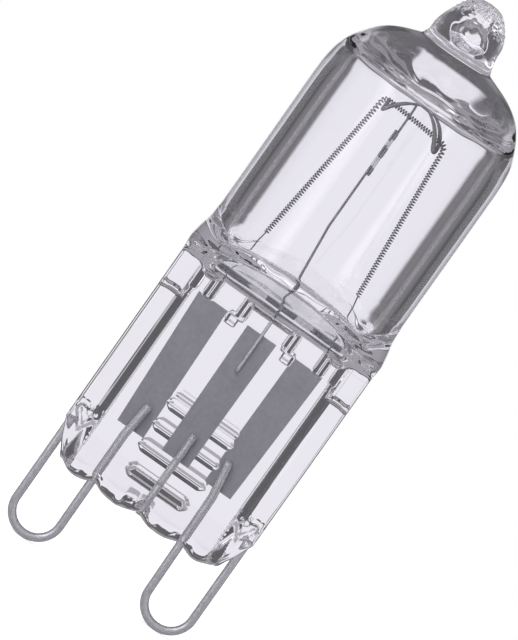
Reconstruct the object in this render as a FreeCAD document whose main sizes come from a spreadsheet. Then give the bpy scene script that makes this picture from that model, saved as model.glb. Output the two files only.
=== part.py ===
import FreeCAD, Part
import math
import os
import re

import Sketcher

# Halogen capsule bulb with a pinched quartz envelope and two wire contact loops.
# Millimetres, +Z up along the bulb, origin at the middle of the pinch's lower edge.
# X runs across the two contact loops, and the front of the bulb faces -Y.

# Driving sizes: name, value, meaning
SIZES = [
    ("pin_spacing", 9.0, "contact loop to contact loop, at their centres"),
    ("loop_wire", 0.5, "diameter of the contact wire"),
    ("loop_width", 2.92, "distance between the two legs of a loop"),
    ("loop_drop", 4.63, "how far the loops hang below the pinch"),
    ("loop_flat", 0.04, "straight run between a loop's two lower bends"),
    ("loop_hook_depth", 2.6, "how far a loop's outer leg is let into the glass"),
    ("lead_bend_height", 3.4, "height where a lead turns towards its foil"),
    ("lead_top", 5.55, "height of the welded end of the leads"),
    ("lead_left_bend", 3.06, "left lead's distance from the middle at its bend"),
    ("lead_left_end", 2.85, "left lead's distance from the middle at its end"),
    ("lead_right_bend", 2.92, "right lead's distance from the middle at its bend"),
    ("lead_right_end", 2.56, "right lead's distance from the middle at its end"),
    ("centre_lead_wire", 0.45, "diameter of the short centre lead"),
    ("centre_lead_offset", 0.13, "centre lead, right of the middle"),
    ("centre_lead_top", 5.7, "height of the centre lead's welded end"),
    ("centre_lead_stub", 0.12, "what the centre lead stands out below the glass"),
    ("foil_thickness", 0.05, "sealing foil, thickness"),
    ("foil_bottom", 3.85, "lower end of the three foils"),
    ("foil_top", 12.35, "upper end of the three foils"),
    ("foil_top_width", 1.94, "foil width at its upper end"),
    ("foil_foot_width", 1.76, "foil width at its lower end"),
    ("foil_left_top", 3.27, "left foil's middle line at its upper end"),
    ("foil_left_foot", 2.96, "left foil's middle line at its lower end"),
    ("foil_right_top", 3.11, "right foil's middle line at its upper end"),
    ("foil_right_foot", 2.92, "right foil's middle line at its lower end"),
    ("pinch_width", 12.6, "width of the pinch over its side rails"),
    ("pinch_height", 14.2, "height of the pinch up to the shoulder"),
    ("rail_depth", 3.5, "thickness of the side rails, front to back"),
    ("rail_width", 1.1, "width of a rail's flat face"),
    ("rail_flank", 0.6, "width of the slope from rail to web"),
    ("rail_edge_radius", 0.35, "rounding of the rails' outer edges"),
    ("web_depth", 2.3, "thickness of the web, front to back"),
    ("corner_rise", 2.6, "height of the cut corners at the foot of the pinch"),
    ("corner_run", 1.1, "width of the cut corners at the foot of the pinch"),
    ("corner_foot", 0.1, "height of the glass edge inside a cut corner"),
    ("foot_notch", 0.28, "height of the glass edge at the leads"),
    ("foot_sag", 0.42, "how far the foot of the glass bulges between the leads"),
    ("foot_outer_share", 0.195, "bulge outside a lead, as a share of its width"),
    ("rib_length", 4.56, "length of the ladder ribs, tip to tip"),
    ("rib_height", 0.75, "height of a ladder rib"),
    ("rib_pitch", 1.39, "ladder rib to ladder rib"),
    ("rib_count", 3, "number of ladder ribs"),
    ("rib_first", 3.64, "height of the lowest ladder rib's middle"),
    ("rib_rise", 0.2, "how far the ribs stand out of the web"),
    ("rib_offset", 0.1, "ribs, right of the middle"),
    ("bar_top_middle", 7.17, "height of the thin bar above the ladder"),
    ("bar_top_height", 0.26, "height of the thin bar above the ladder"),
    ("bar_low_middle", 1.9, "height of the bar below the ladder"),
    ("bar_low_height", 0.3, "height of the bar below the ladder"),
    ("bar_low_length", 4.0, "length of the bar below the ladder"),
    ("band_depth", 2.9, "thickness of the toothed band at the top of the web"),
    ("window_foot", 12.4, "height where the band's windows start"),
    ("window_low_top", 13.44, "top of the middle and the outer windows"),
    ("window_high_top", 13.84, "top of the two windows between them"),
    ("tooth_width", 0.36, "width of the teeth between the windows"),
    ("tooth_inner", 1.55, "inner teeth, from the middle"),
    ("window_outer_width", 0.72, "width of the outer windows"),
    ("tooth_inner_foot", 11.9, "lower end of the inner teeth"),
    ("boss_foot", 11.6, "lower end of the corner bosses under the shoulder"),
    ("boss_width", 1.5, "width of a corner boss"),
    ("boss_sag", 0.19, "how far a boss bulges at its lower end"),
    ("boss_depth", 4.0, "thickness over the corner bosses, front to back"),
    ("bulb_diameter", 12.1, "outer diameter of the bulb"),
    ("bulb_wall", 1.05, "wall of the bulb"),
    ("shoulder_top", 17.2, "height where the bulb is round again"),
    ("shoulder_lap", 0.35, "how far the shoulder starts below the pinch's top"),
    ("shoulder_flare", 0.15, "what the shoulder stands out past the pinch"),
    ("slope_top", 16.3, "height where the pressed slopes reach the round bulb"),
    ("dome_start", 27.2, "height where the dome begins"),
    ("dome_rim", 2.9, "rounding of the dome's rim"),
    ("dome_crown", 7.7, "flatter rounding of the dome's crown"),
    ("inner_dome_start", 27.5, "height where the inside of the dome begins"),
    ("crown_wall", 2.25, "wall at the crown of the dome"),
    ("tip_radius", 2.05, "radius of the sealed filling stub"),
    ("tip_root", 0.35, "flare where the stub leaves the dome"),
    ("tip_offset", 0.15, "filling stub, left of the middle"),
    ("tip_shoulder", 32.2, "height where the filling stub narrows"),
    ("tip_neck", 33.3, "height where it narrows further"),
    ("tip_neck_radius", 1.65, "radius of the filling stub there"),
    ("tip_top", 34.5, "height of the bulb's top"),
    ("tip_crown_radius", 0.55, "flat of the filling stub's top"),
    ("tip_bore", 0.8, "radius of the closed bore in the stub"),
    ("tip_bore_top", 32.6, "height of the closed bore's end"),
    ("tip_bore_taper", 0.7, "height of the bore's pointed end"),
    ("cavity_floor", 14.75, "height of the floor of the gas space"),
    ("cavity_floor_width", 9.2, "width of the floor of the gas space"),
    ("cavity_floor_depth", 0.7, "front to back at the floor of the gas space"),
    ("coil_diameter", 0.33, "outer diameter of the filament coil"),
    ("coil_bottom", 17.1, "height of the lower ends of the coil"),
    ("coil_foot", 3.08, "coil's lower ends, from the middle"),
    ("coil_left_corner", 2.03, "coil's left corner, from the middle"),
    ("coil_right_corner", 2.28, "coil's right corner, from the middle"),
    ("coil_left_height", 26.75, "height of the coil's left corner"),
    ("coil_right_height", 26.45, "height of the coil's right corner"),
    ("coil_bend_radius", 0.45, "bend of the coil at its corners"),
    ("tail_wire", 0.08, "diameter of the filament's tails"),
    ("tail_bottom", 11.2, "height of the tails' welded ends"),
    ("tail_bend_height", 14.95, "height where the tails lean inwards"),
    ("tail_left", 3.33, "left tail on its foil, from the middle"),
    ("tail_right", 3.29, "right tail on its foil, from the middle"),
    ("weld_land", 0.02, "how far a welded wire is flattened on its foil"),
    ("post_wire", 0.14, "diameter of the support post"),
    ("post_bottom", 9.9, "height of the post's welded end"),
    ("post_bend_height", 14.7, "height where the post leans"),
    ("post_kink_height", 19.45, "height of the post's upper kink"),
    ("post_lean", 0.46, "post, left of the middle above its kink"),
    ("post_top", 25.8, "height of the post's top"),
    ("stem_wire", 0.14, "diameter of the stem above the post"),
    ("stem_bottom", 22.95, "lower end of the stem, beside the post"),
    ("stem_lean", 0.3, "height over which the stem leans to the front of the coil"),
    ("stem_top", 27.75, "height of the stem's top"),
    ("weld_gap", 0.005, "gap between wires that are welded side by side"),
    ("hook_wire", 0.28, "diameter of the filament hook"),
    ("hook_gap", 0.05, "clearance between hook and coil"),
    ("hook_bend_share", 0.85, "bends of the hook, as a share of its distance from the coil"),
    ("hook_apex", 28.15, "height of the hook's top bend"),
    ("hook_apex_offset", 0.33, "hook's top bend, right of the middle"),
    ("hook_left", 1.75, "hook's left eye, from the middle"),
    ("hook_right", 1.93, "hook's right eye, from the middle"),
    ("hook_left_drop", 0.5, "left eye, below the coil's left corner"),
    ("hook_right_drop", 0.5, "right eye, below the coil's right corner"),
    ("hook_tail", 0.5, "length of the bent-up end behind the coil"),
    ("hook_return", 0.75, "hook's returned end, right of the middle"),
    ("hook_return_top", 27.8, "height of the hook's returned end"),
]

SHEET = "Sizes"
NAMES = re.compile(r"\b(" + "|".join(row[0] for row in SIZES) + r")\b")
FRONT_VIEW = "XZ_Plane"
TOP_VIEW = "XY_Plane"
SIDE_VIEW = "YZ_Plane"
BEND_RUNS = 2  # short runs that make up a bend of the coil, stem and hook
SLACK = 1e-6  # what two lengths may differ by and still count as alike

doc = FreeCAD.newDocument("halogen_capsule_bulb")
sheet = doc.addObject("Spreadsheet::Sheet", SHEET)
for line, (name, size, meaning) in enumerate(SIZES, start=1):
    sheet.set(f"A{line}", meaning)
    sheet.set(f"B{line}", str(size))
    sheet.setAlias(f"B{line}", name)
doc.recompute()


def linked(rule):
    """The rule with each size's name pointing at its cell."""
    return NAMES.sub(SHEET + r".\1", str(rule))


def value(rule):
    """What a rule comes to with the present sizes."""
    found = sheet.evalExpression(linked(rule))
    return float(getattr(found, "Value", found))


def bind(thing, **rules):
    for prop, rule in rules.items():
        thing.setExpression(prop, linked(rule))


def apart(start, end):
    """The rule for the distance between two points given as rules."""
    (across, up), (next_across, next_up) = start, end
    return f"sqrt((({next_across}) - ({across}))^2 + (({next_up}) - ({up}))^2)"


# Sketching

def new_body(label):
    body = doc.addObject("PartDesign::Body", label)
    body.Label = label
    return body


def new_sketch(body, name, plane, lift="0"):
    """A sketch on one of the body's own planes, moved along that plane's normal."""
    sketch = body.newObject("Sketcher::SketchObject", name)
    support = [f for f in body.Origin.OriginFeatures if f.Role == plane][0]
    sketch.AttachmentSupport = [(support, "")]
    sketch.MapMode = "FlatFace"
    sketch.setExpression(".AttachmentOffset.Base.z", linked(lift))
    return sketch


def vector(across, up):
    return FreeCAD.Vector(value(across), value(up), 0)


def flat_arc(first, middle, last):
    """An arc through three points of a sketch, always counterclockwise."""
    turn = (middle - first).cross(last - middle).z
    return Part.Arc(first, middle, last) if turn > 0 else Part.Arc(last, middle, first)


def end_near(sketch, shape, point):
    """Which end of a line or arc lies at a point: 1 is its start and 2 its end."""
    geometry = sketch.Geometry[shape]
    from_start = (geometry.StartPoint - point).Length
    return 1 if from_start < (geometry.EndPoint - point).Length else 2


def pinned(shape, end, across, up):
    """Ties one point of a sketch to two rules, measured from the sketch's origin."""
    return [
        (Sketcher.Constraint("DistanceX", -1, 1, shape, end, value(across)), across),
        (Sketcher.Constraint("DistanceY", -1, 1, shape, end, value(up)), up),
    ]


def rounded(shape, radius):
    return [(Sketcher.Constraint("Radius", shape, value(radius)), radius)]


def met(kind, shape, end, other, other_end):
    """Two ends that meet: Coincident, or Tangent for a smooth join."""
    return [(Sketcher.Constraint(kind, shape, end, other, other_end), None)]


def tie(sketch, ties):
    """Adds all constraints at once, each with the rule that its value follows."""
    numbers = sketch.addConstraint([constraint for constraint, rule in ties])
    for number, (constraint, rule) in zip(numbers, ties):
        if rule and NAMES.search(str(rule)):
            sketch.setExpression(f"Constraints[{number}]", linked(rule))


def draw_outline(sketch, points, sags=None):
    """A closed outline through points given as rules.

    sags holds, for the side that starts at a point, how far that side bulges to its right.
    """
    sags = sags or {}
    corners = [vector(*point) for point in points]
    count = len(points)
    for side in range(count):
        start, end = corners[side], corners[(side + 1) % count]
        if side not in sags:
            sketch.addGeometry(Part.LineSegment(start, end), False)
            continue
        chord = end - start
        right = FreeCAD.Vector(chord.y, -chord.x, 0).normalize()
        middle = (start + end) * 0.5 + right * value(sags[side])
        sketch.addGeometry(flat_arc(start, middle, end), False)
    starts = [end_near(sketch, side, corners[side]) for side in range(count)]
    ties = []
    for side in range(count):
        following = (side + 1) % count
        ties += pinned(side, starts[side], *points[side])
        ties += met("Coincident", side, 3 - starts[side], following, starts[following])
    for side, sag in sags.items():
        half = f"{apart(points[side], points[(side + 1) % count])} / 2"
        ties += rounded(side, f"(({half})^2 + ({sag})^2) / (2 * abs({sag}))")
    tie(sketch, ties)


def draw_circle(sketch, across, up, radius):
    circle = Part.Circle(vector(across, up), FreeCAD.Vector(0, 0, 1), value(radius))
    sketch.addGeometry(circle, False)
    tie(sketch, pinned(0, 3, across, up) + rounded(0, radius))


def bend_at(before, corner, after, radius):
    """The start, middle and end of the arc that rounds a corner of a route."""
    back = (before - corner).normalize()
    onward = (after - corner).normalize()
    half_turn = (math.pi - back.getAngle(onward)) / 2
    reach = radius * math.tan(half_turn)
    inward = (back + onward).normalize()
    middle = corner + inward * (radius / math.cos(half_turn) - radius)
    return corner + back * reach, middle, corner + onward * reach


def draw_route(sketch, points, bends):
    """An open route of straight runs, kinked at each inner point or bent to a radius.

    bends holds the radius rule of each bend by its place; the other inner points are kinks.
    """
    corners = [vector(*point) for point in points]
    last_run = len(points) - 2
    arcs = {
        place: bend_at(*corners[place:place + 3], value(bend)) for place, bend in bends.items()
    }
    for run in range(last_run + 1):
        start = arcs[run - 1][2] if run - 1 in arcs else corners[run]
        end = arcs[run][0] if run in arcs else corners[run + 1]
        sketch.addGeometry(Part.LineSegment(start, end), False)
    ties = pinned(0, 1, *points[0]) + pinned(last_run, 2, *points[-1])
    for place in range(last_run):
        if place not in bends:
            ties += pinned(place, 2, *points[place + 1])
            ties += met("Coincident", place, 2, place + 1, 1)
    for place, bend in bends.items():
        arc = sketch.addGeometry(flat_arc(*arcs[place]), False)
        mark = sketch.addGeometry(Part.Point(corners[place + 1]), True)
        near = end_near(sketch, arc, arcs[place][0])
        ties += pinned(mark, 1, *points[place + 1])
        for run in (place, place + 1):
            ties.append((Sketcher.Constraint("PointOnObject", mark, 1, run), None))
        ties += met("Tangent", place, 2, arc, near)
        ties += met("Tangent", arc, 3 - near, place + 1, 1)
        ties += rounded(arc, bend)
    tie(sketch, ties)


# Solid features

def add_pad(body, sketch, length, both_ways=True):
    pad = body.newObject("PartDesign::Pad", sketch.Name + "_pad")
    pad.Profile = sketch
    pad.Midplane = both_ways
    bind(pad, Length=length)
    return pad


def add_turned(body, sketch):
    """A full turn about the sketch's upright axis."""
    turned = body.newObject("PartDesign::Revolution", sketch.Name + "_turned")
    turned.Profile = sketch
    turned.ReferenceAxis = (sketch, ["V_Axis"])
    turned.Angle = 360.0
    return turned


def add_wire(body, name, route, bends, diameter, lift):
    """A round wire along a route in the front view; the route starts upright.

    At a kink the wire's two runs meet in a mitre.
    """
    path = new_sketch(body, name + "_route", FRONT_VIEW, lift)
    draw_route(path, route, bends)
    section = new_sketch(body, name + "_section", TOP_VIEW, route[0][1])
    draw_circle(section, route[0][0], f"-({lift})", f"({diameter}) / 2")
    pipe = body.newObject("PartDesign::AdditivePipe", name + "_pipe")
    pipe.Profile = section
    pipe.Spine = path
    pipe.Transition = "Right corner"
    return pipe


# Contact loops

# Each loop and its lead inside the glass are one wire: the outer leg hooks into the
# glass, the lower end is a half circle, and the inner leg runs up to lie on its foil.
LEAD_LIFT = "(foil_thickness + loop_wire) / 2 - weld_land"


def contact_loop(side, sign):
    body = new_body(f"loop_{side}_wire")
    inner = f"({sign}) * (pin_spacing - loop_width) / 2"
    outer = f"({sign}) * (pin_spacing + loop_width) / 2"
    bottom = "loop_wire / 2 - loop_drop"
    route = [
        (outer, "loop_hook_depth"),
        (outer, bottom),
        (inner, bottom),
        (f"({sign}) * lead_{side}_bend", "lead_bend_height"),
        (f"({sign}) * lead_{side}_end", "lead_top"),
    ]
    bend = "loop_width / 2 - loop_flat / 2"
    add_wire(body, f"loop_{side}", route, {0: bend, 1: bend}, "loop_wire", LEAD_LIFT)
    return body


def centre_lead():
    body = new_body("centre_lead_wire")
    section = new_sketch(body, "centre_lead_section", TOP_VIEW, "foot_notch - centre_lead_stub")
    lift = "(foil_thickness + centre_lead_wire) / 2 - weld_land"
    draw_circle(section, "centre_lead_offset", f"-({lift})", "centre_lead_wire / 2")
    length = "centre_lead_top - foot_notch + centre_lead_stub"
    add_pad(body, section, length, both_ways=False)
    return body


# Sealing foils

def sealing_foil(name, top, foot):
    """A thin strip that widens slightly towards the bulb."""
    body = new_body(name)
    outline = new_sketch(body, name + "_outline", FRONT_VIEW)
    draw_outline(outline, [
        (f"({foot}) - foil_foot_width / 2", "foil_bottom"),
        (f"({foot}) + foil_foot_width / 2", "foil_bottom"),
        (f"({top}) + foil_top_width / 2", "foil_top"),
        (f"({top}) - foil_top_width / 2", "foil_top"),
    ])
    add_pad(body, outline, "foil_thickness")
    return body


# Filament and its supports

POST_LIFT = "(foil_thickness + post_wire) / 2 - weld_land"
STEM_ACROSS = "(post_wire + stem_wire) / 2 + weld_gap - post_lean"
STEM_LIFT = "(coil_diameter + stem_wire) / 2 + weld_gap"


def support_post():
    body = new_body("support_post_wire")
    route = [
        ("0", "post_bottom"),
        ("0", "post_bend_height"),
        ("-post_lean", "post_kink_height"),
        ("-post_lean", "post_top"),
    ]
    add_wire(body, "post", route, {}, "post_wire", POST_LIFT)
    return body


def bent_wire(corners, radii, diameter):
    """A round wire through corners in space; each bend is short runs that meet in mitres."""
    points = [corners[0]]
    for place, radius in enumerate(radii):
        bend = Part.Arc(*bend_at(*corners[place:place + 3], radius))
        points += bend.discretize(BEND_RUNS + 1)
    points.append(corners[-1])
    section = Part.Circle(corners[0], corners[1] - corners[0], diameter / 2).toShape()
    right_corners = 1
    return Part.makePolygon(points).makePipeShell(
        [Part.Wire([section])], True, False, right_corners
    )


def plain_piece(label, shape):
    piece = doc.addObject("Part::Feature", label)
    piece.Label = label
    piece.Shape = shape
    piece.Placement = FreeCAD.Placement()
    return piece


def joined(label, shapes):
    whole = doc.addObject("Part::MultiFuse", label)
    whole.Shapes = shapes
    return whole


def place(x, y, z):
    return FreeCAD.Vector(value(x), value(y), value(z))


def filament():
    """The coil's outer form, hung over two corners, with a straight tail on each foil.

    The tails are welded to the backs of the foils.
    """
    corners = [
        place("-coil_foot", "0", "coil_bottom"),
        place("-coil_left_corner", "0", "coil_left_height"),
        place("coil_right_corner", "0", "coil_right_height"),
        place("coil_foot", "0", "coil_bottom"),
    ]
    bends = [value("coil_bend_radius")] * 2
    coil = plain_piece("coil", bent_wire(corners, bends, value("coil_diameter")))
    body = new_body("filament_tails")
    for side, sign in (("left", "-1"), ("right", "1")):
        tail = [
            (f"({sign}) * tail_{side}", "tail_bottom"),
            (f"({sign}) * tail_{side}", "tail_bend_height"),
            (f"({sign}) * coil_foot", "coil_bottom + coil_diameter / 2"),
        ]
        lift = "weld_land - (foil_thickness + tail_wire) / 2"
        add_wire(body, f"tail_{side}", tail, {}, "tail_wire", lift)
    return joined("filament_wire", [coil, body])


def support_stem():
    """The upper wire, welded along the right of the post, passes in front of the coil."""
    corners = [
        place(STEM_ACROSS, f"-({POST_LIFT})", "stem_bottom"),
        place(STEM_ACROSS, f"-({POST_LIFT})", "post_top"),
        place(STEM_ACROSS, f"-({STEM_LIFT})", "post_top + stem_lean"),
        place(STEM_ACROSS, f"-({STEM_LIFT})", "stem_top"),
    ]
    bends = [value("stem_wire")] * 2
    return plain_piece("support_stem", bent_wire(corners, bends, value("stem_wire")))


def filament_hook():
    """One bent wire: an eye under each corner of the coil, joined over the stem's top.

    In front of the coil it runs from the left eye over the top bend to the right eye,
    and behind the coil its right end comes back up. Its left limb lies on the stem.
    """
    clear = "(coil_diameter + hook_wire) / 2 + hook_gap"
    front, back = f"-({clear})", f"{clear}"
    left_eye = "coil_left_height - hook_left_drop"
    right_eye = "coil_right_height - hook_right_drop"
    seat = f"-({STEM_LIFT}) - (stem_wire + hook_wire) / 2 - weld_gap"
    share = f"(hook_left + {STEM_ACROSS}) / (hook_left + hook_apex_offset)"
    apex_depth = f"{front} + ({seat} + {clear}) / ({share})"
    corners = [
        place("-hook_left", back, f"{left_eye} + hook_tail"),
        place("-hook_left", back, left_eye),
        place("-hook_left", front, left_eye),
        place("hook_apex_offset", apex_depth, "hook_apex"),
        place("hook_right", front, right_eye),
        place("hook_right", back, right_eye),
        place("hook_return", back, "hook_return_top"),
    ]
    turn = value(f"({clear}) * hook_bend_share")
    radii = [turn, turn, value("hook_wire"), turn, turn]
    return plain_piece("filament_hook", bent_wire(corners, radii, value("hook_wire")))


# Glass envelope

def pinch():
    """The pressed foot: two thick side rails joined by a thin web."""
    body = new_body("pinch")
    rail_in = "pinch_width / 2 - rail_width"
    web_end = "pinch_width / 2 - rail_width - rail_flank"
    quarter = [
        ("pinch_width / 2", "rail_depth / 2"),
        (rail_in, "rail_depth / 2"),
        (web_end, "web_depth / 2"),
    ]
    outline = quarter
    outline = outline + [(f"-({x})", y) for x, y in reversed(quarter)]
    outline = outline + [(f"-({x})", f"-({y})") for x, y in quarter]
    outline = outline + [(x, f"-({y})") for x, y in reversed(quarter)]
    section = new_sketch(body, "pinch_section", TOP_VIEW, "-foot_sag")
    draw_outline(section, outline)
    pressed = add_pad(body, section, "pinch_height + foot_sag", both_ways=False)
    doc.recompute()
    side = value("pinch_width / 2")
    rounding = body.newObject("PartDesign::Fillet", "rail_edges")
    rounding.Base = (pressed, [
        f"Edge{number}"
        for number, edge in enumerate(pressed.Shape.Edges, start=1)
        if edge.BoundBox.XLength + edge.BoundBox.YLength < SLACK
        and abs(abs(edge.CenterOfMass.x) - side) < SLACK
    ])
    bind(rounding, Radius="rail_edge_radius")
    return body


def pinch_details(body):
    hexagon_bars(body)
    toothed_band(body)
    corner_bosses(body)
    foot_cut(body)


def hexagon(middle, length, height, offset):
    """A bar with a pointed end at each side."""
    tip = f"({length}) / 2"
    flat = f"({length}) / 2 - ({height}) / 2"
    half = f"({height}) / 2"
    return [
        (f"{offset} - ({tip})", middle),
        (f"{offset} - ({flat})", f"({middle}) - {half}"),
        (f"{offset} + ({flat})", f"({middle}) - {half}"),
        (f"{offset} + ({tip})", middle),
        (f"{offset} + ({flat})", f"({middle}) + {half}"),
        (f"{offset} - ({flat})", f"({middle}) + {half}"),
    ]


def hexagon_bars(body):
    """Embossed bars on the web, alike in front and behind."""
    thickness = "web_depth + 2 * rib_rise"
    rib = new_sketch(body, "ladder_rib", FRONT_VIEW)
    draw_outline(rib, hexagon("rib_first", "rib_length", "rib_height", "rib_offset"))
    rib_pad = add_pad(body, rib, thickness)
    doc.recompute()
    ladder = body.newObject("PartDesign::LinearPattern", "ladder")
    ladder.Originals = [rib_pad]
    ladder.Direction = (rib, ["V_Axis"])
    bind(ladder, Occurrences="rib_count", Length="rib_pitch * (rib_count - 1)")
    body.Tip = ladder
    doc.recompute()
    for name, middle, height, length in (
        ("bar_top", "bar_top_middle", "bar_top_height", "rib_length"),
        ("bar_low", "bar_low_middle", "bar_low_height", "bar_low_length"),
    ):
        bar = new_sketch(body, name, FRONT_VIEW)
        draw_outline(bar, hexagon(middle, length, height, "rib_offset"))
        add_pad(body, bar, thickness)


def toothed_band(body):
    """The band across the top of the web, with five windows between its teeth."""
    half = "tooth_width / 2"
    edge = "pinch_width / 2 - rail_width - rail_flank / 2"
    window_end = "pinch_width / 2 - rail_width - rail_flank"
    tooth_outer_end = f"{window_end} - window_outer_width"
    right = [
        (f"tooth_inner - {half}", "window_low_top"),
        (f"tooth_inner - {half}", "tooth_inner_foot"),
        (f"tooth_inner + {half}", "tooth_inner_foot"),
        (f"tooth_inner + {half}", "window_high_top"),
        (f"{tooth_outer_end} - tooth_width", "window_high_top"),
        (f"{tooth_outer_end} - tooth_width", "window_foot"),
        (tooth_outer_end, "window_foot"),
        (tooth_outer_end, "window_low_top"),
        (window_end, "window_low_top"),
        (window_end, "window_foot"),
        (edge, "window_foot"),
        (edge, "pinch_height"),
    ]
    left = [(f"-({x})", z) for x, z in reversed(right)]
    band = new_sketch(body, "toothed_band", FRONT_VIEW)
    draw_outline(band, left + right)
    add_pad(body, band, "band_depth")


def corner_bosses(body):
    """Thicker corners under the shoulder, each ending below in a rounded lip."""
    outside = "pinch_width / 2"
    inside = "pinch_width / 2 - boss_width"
    for side, sign in (("left", "-1"), ("right", "1")):
        boss = new_sketch(body, f"boss_{side}", FRONT_VIEW)
        ends = [(outside, "boss_foot"), (outside, "pinch_height")]
        ends = ends + [(inside, "pinch_height"), (inside, "boss_foot")]
        points = [(f"({sign}) * ({x})", z) for x, z in ends]
        if side == "left":
            points.reverse()
        draw_outline(boss, points, {3: "boss_sag"})
        add_pad(body, boss, "boss_depth")


def foot_cut(body):
    """Shapes the lower edge: cut corners outside, and a bulge between each two leads."""
    corner = "pinch_width / 2 - corner_run"
    lead = "(pin_spacing - loop_width) / 2"
    far = "pinch_width"
    right = [
        ("0", "foot_notch"),
        (lead, "foot_notch"),
        (corner, "corner_foot"),
        ("pinch_width / 2", "corner_rise"),
        (far, "corner_rise"),
        (far, "-2 * foot_notch - 2 * foot_sag"),
    ]
    left = [(f"-({x})", z) for x, z in reversed(right[1:])]
    below = new_sketch(body, "foot_outline", FRONT_VIEW)
    points = right + left
    last = len(points) - 1
    outer_sag = f"foot_outer_share * ({corner} - {lead})"
    sags = {0: "foot_sag", 1: outer_sag, last: "foot_sag", last - 1: outer_sag}
    draw_outline(below, points, sags)
    doc.recompute()
    before = body.Shape.Volume
    pocket = body.newObject("PartDesign::Pocket", "foot_pocket")
    pocket.Profile = below
    pocket.Midplane = True
    bind(pocket, Length="2 * pinch_width")
    doc.recompute()
    if body.Shape.Volume > before - SLACK:
        raise RuntimeError("the pocket at the foot of the pinch cuts nothing")


def bulge(radius, start, end):
    """How far an arc of a radius stands out over the chord between two points."""
    half = f"{apart(start, end)} / 2"
    return f"({radius}) - sqrt(({radius})^2 - ({half})^2)"


# The dome's rim and crown are two arcs that meet smoothly: the rim's centre lies inside
# the bulb's wall, and the crown's centre lies on the axis, this far below the rim's.
RIM_CENTRE = "(bulb_diameter / 2 - dome_rim)"
CROWN_DROP = f"sqrt((dome_crown - dome_rim)^2 - {RIM_CENTRE}^2)"
CROWN_TOP = f"(dome_start - {CROWN_DROP} + dome_crown)"


def bulb_form():
    """The blown bulb: a tube with a domed end."""
    body = new_body("bulb_form")
    outline = new_sketch(body, "bulb_outline", FRONT_VIEW)
    rim_foot = ("bulb_diameter / 2", "dome_start")
    share = "dome_crown / (dome_crown - dome_rim)"
    rim_end = (f"{RIM_CENTRE} * {share}", f"dome_start + {CROWN_DROP} * ({share} - 1)")
    crown = ("0", CROWN_TOP)
    points = [("0", "shoulder_top"), ("bulb_diameter / 2", "shoulder_top")]
    points = points + [rim_foot, rim_end, crown]
    sags = {2: bulge("dome_rim", rim_foot, rim_end), 3: bulge("dome_crown", rim_end, crown)}
    draw_outline(outline, points, sags)
    add_turned(body, outline)
    return body


def filling_stub():
    """The sealed stub of the filling tube, a little off the middle."""
    body = new_body("filling_stub")
    outline = new_sketch(body, "stub_outline", FRONT_VIEW)
    draw_outline(outline, [
        ("0", "dome_start"),
        ("tip_radius + 2 * tip_root", "dome_start"),
        ("tip_radius + tip_root", f"{CROWN_TOP} - tip_root / 2"),
        ("tip_radius", f"{CROWN_TOP} + tip_root"),
        ("tip_radius", "tip_shoulder"),
        ("tip_neck_radius", "tip_neck"),
        ("tip_crown_radius", "tip_top"),
        ("0", "tip_top"),
    ])
    add_turned(body, outline)
    bind(body, **{".Placement.Base.x": "-tip_offset"})
    return body


# The inner dome is made of bands that meet at these shares of the inner radius.
INNER_BANDS = (0.88, 0.68, 0.4)


def gas_form():
    """The gas space inside the bulb, with the closed bore of the filling stub."""
    body = new_body("gas_form")
    outline = new_sketch(body, "gas_outline", FRONT_VIEW)
    bore = "(bulb_diameter / 2 - bulb_wall)"
    rim = (bore, "inner_dome_start")
    crown = ("tip_bore", f"{CROWN_TOP} - crown_wall")
    rise = f"({CROWN_TOP} - crown_wall - inner_dome_start)"
    drop = f"(({bore}^2 - tip_bore^2 - {rise}^2) / (2 * {rise}))"
    bands = [
        (f"{bore} * {share}", f"{rim[1]} - {drop} + sqrt(({bore}^2) * (1 - {share}^2) + {drop}^2)")
        for share in INNER_BANDS
    ]
    points = [("0", "shoulder_top"), (bore, "shoulder_top"), rim] + bands
    points = points + [crown, ("tip_bore", "tip_bore_top - tip_bore_taper")]
    draw_outline(outline, points + [("0", "tip_bore_top")])
    add_turned(body, outline)
    return body


def oval(half_width, half_depth, squareness, height, steps=32):
    """A closed curve: a circle or ellipse at squareness 2, nearer a rectangle above it."""
    if squareness == 2 and half_width == half_depth:
        return Part.Wire([Part.makeCircle(half_width, FreeCAD.Vector(0, 0, height))])
    points = []
    for step in range(steps):
        turn = 2 * math.pi * step / steps
        across, along = math.cos(turn), math.sin(turn)
        x = half_width * math.copysign(abs(across) ** (2 / squareness), across)
        y = half_depth * math.copysign(abs(along) ** (2 / squareness), along)
        points.append(FreeCAD.Vector(x, y, height))
    curve = Part.BSplineCurve()
    curve.interpolate(points, PeriodicFlag=True)
    return Part.Wire([curve.toShape()])


def pressed_neck(label, foot, top, radius, foot_width, foot_depth, stages, flare=0.0):
    """The tube pressed flat: from a circle above to a flat oval below.

    Each stage gives its share of the height, how far the depth and the width have
    opened towards the circle, its share of the flare, and its squareness.
    """
    wires = []
    for rise, opening, spread, swell, squareness in stages:
        half_width = foot_width / 2 + (radius - foot_width / 2) * spread + flare * swell
        half_depth = foot_depth / 2 + (radius - foot_depth / 2) * opening
        wires.append(oval(half_width, half_depth, squareness, foot + (top - foot) * rise))
    return plain_piece(label, Part.makeLoft(wires, True, True))


def pressed_slopes():
    """The room between the two flat slopes, in front and behind, that the jaws pressed."""
    body = new_body("pressed_slopes")
    outline = new_sketch(body, "slopes_outline", SIDE_VIEW)
    foot, radius = "pinch_height - shoulder_lap", "bulb_diameter / 2"
    right = [("rail_depth / 2", foot), (radius, "slope_top"), (radius, "shoulder_top")]
    left = [(f"-({y})", z) for y, z in reversed(right)]
    draw_outline(outline, right + left)
    add_pad(body, outline, "2 * pinch_width")
    return body


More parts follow.
